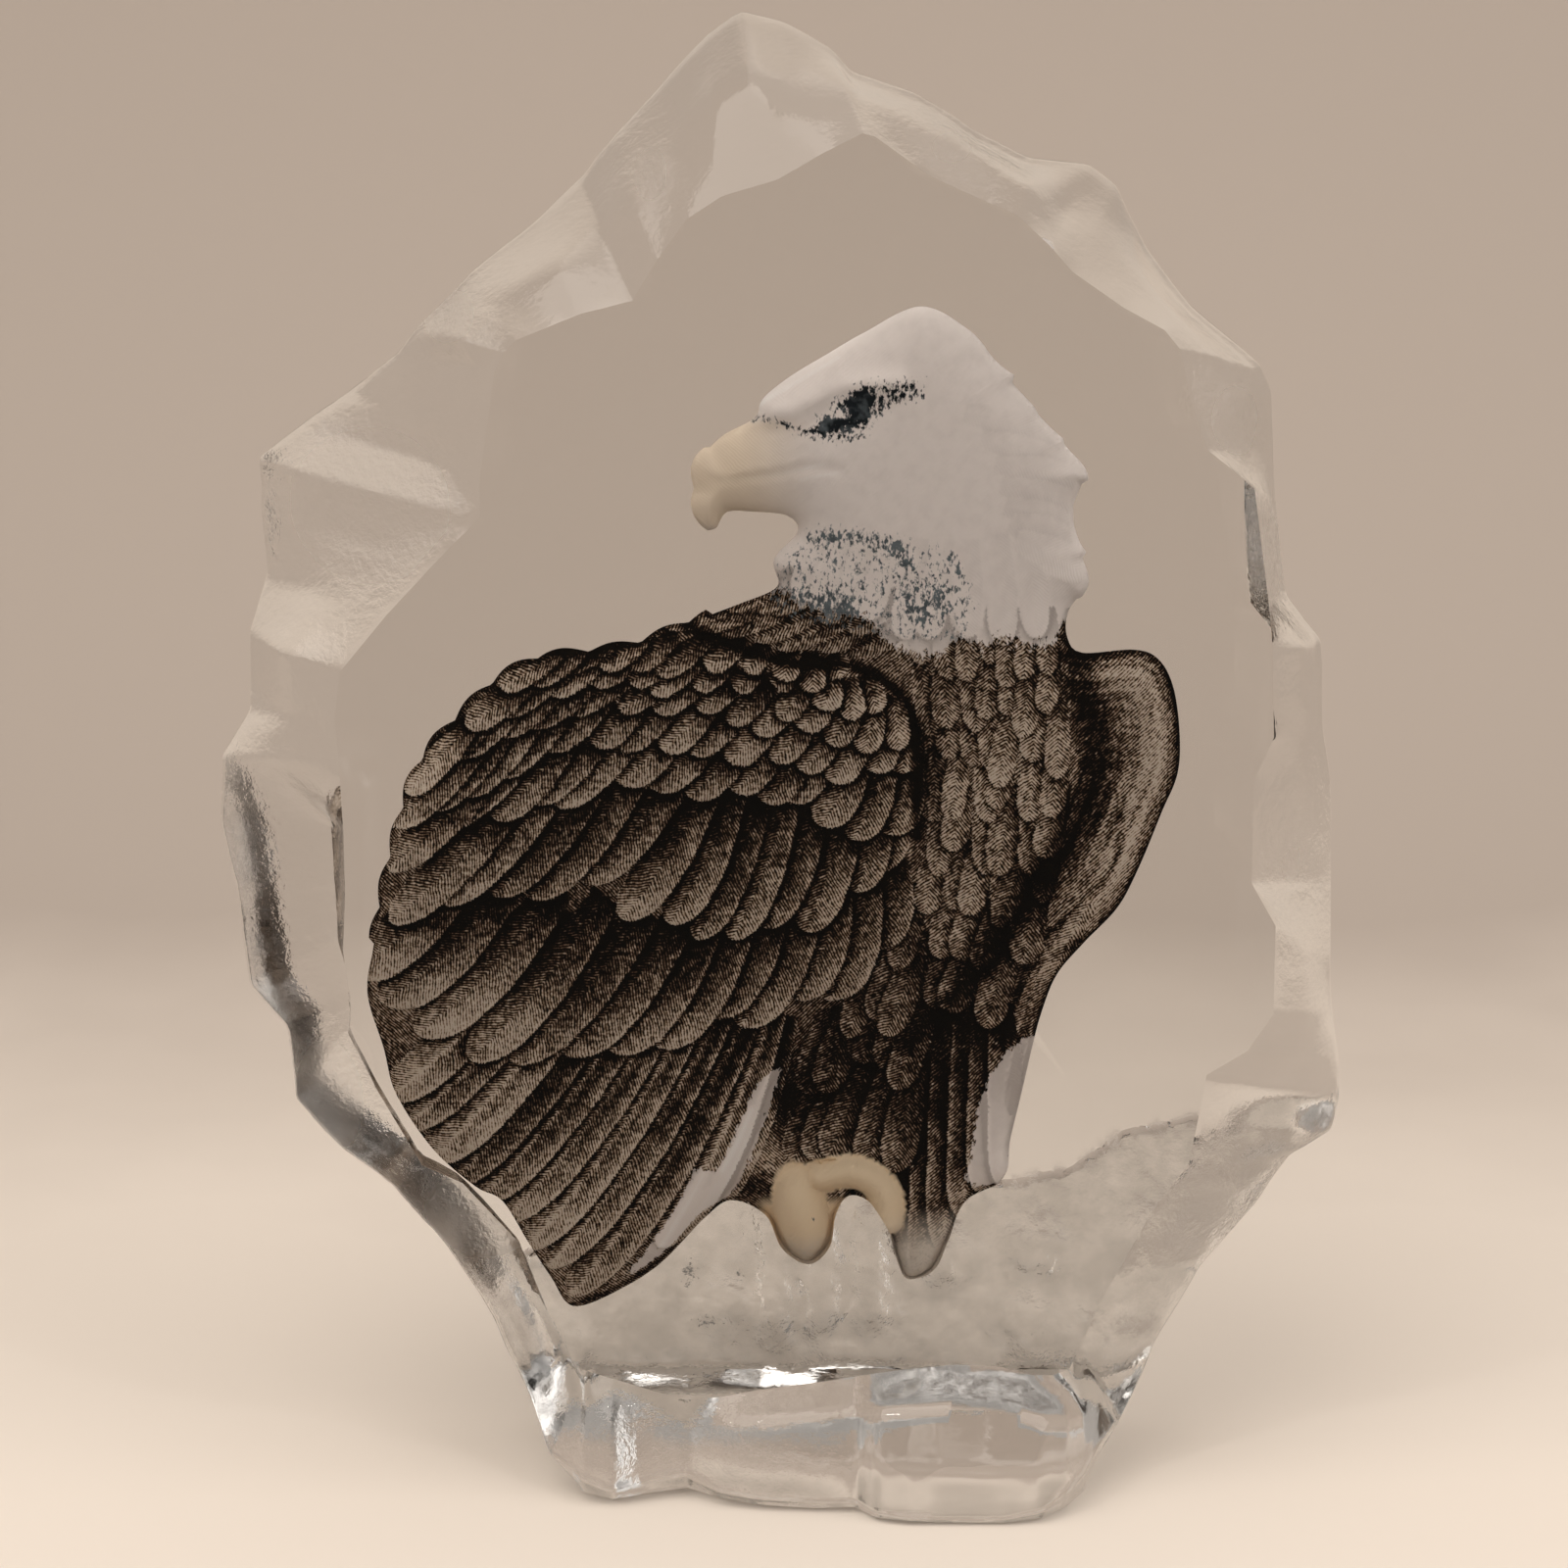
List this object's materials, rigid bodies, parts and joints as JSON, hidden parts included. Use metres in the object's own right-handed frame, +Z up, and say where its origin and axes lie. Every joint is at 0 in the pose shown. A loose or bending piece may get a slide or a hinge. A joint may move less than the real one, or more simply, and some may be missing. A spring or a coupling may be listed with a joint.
{
  "type": "crystal eagle sculpture",
  "caption": "Clear cast crystal block shaped like chipped ice, with a perched bald eagle carved into its back and painted, standing on a flat foot.",
  "frame": {"origin": "centre of the underside's plane, under the middle of the block's bounding box", "axes": "+Z up, the polished window faces -Y, the carved face +Y, +X to the viewer's right"},
  "size_m": [0.186, 0.06, 0.24],
  "materials": {
    "crystal": "clear cast crystal, polished window, fire-polished chipped rim",
    "brown_stain": "speckled brown and black stain in the carved plumage, seen through the crystal",
    "white_frost": "frosted white coat on the carved head and pale quills",
    "cream_coat": "cream coat on the carved beak and toes"
  },
  "bodies": {
    "root": {"crystal_block": "crystal"}
  },
  "joints": []
}
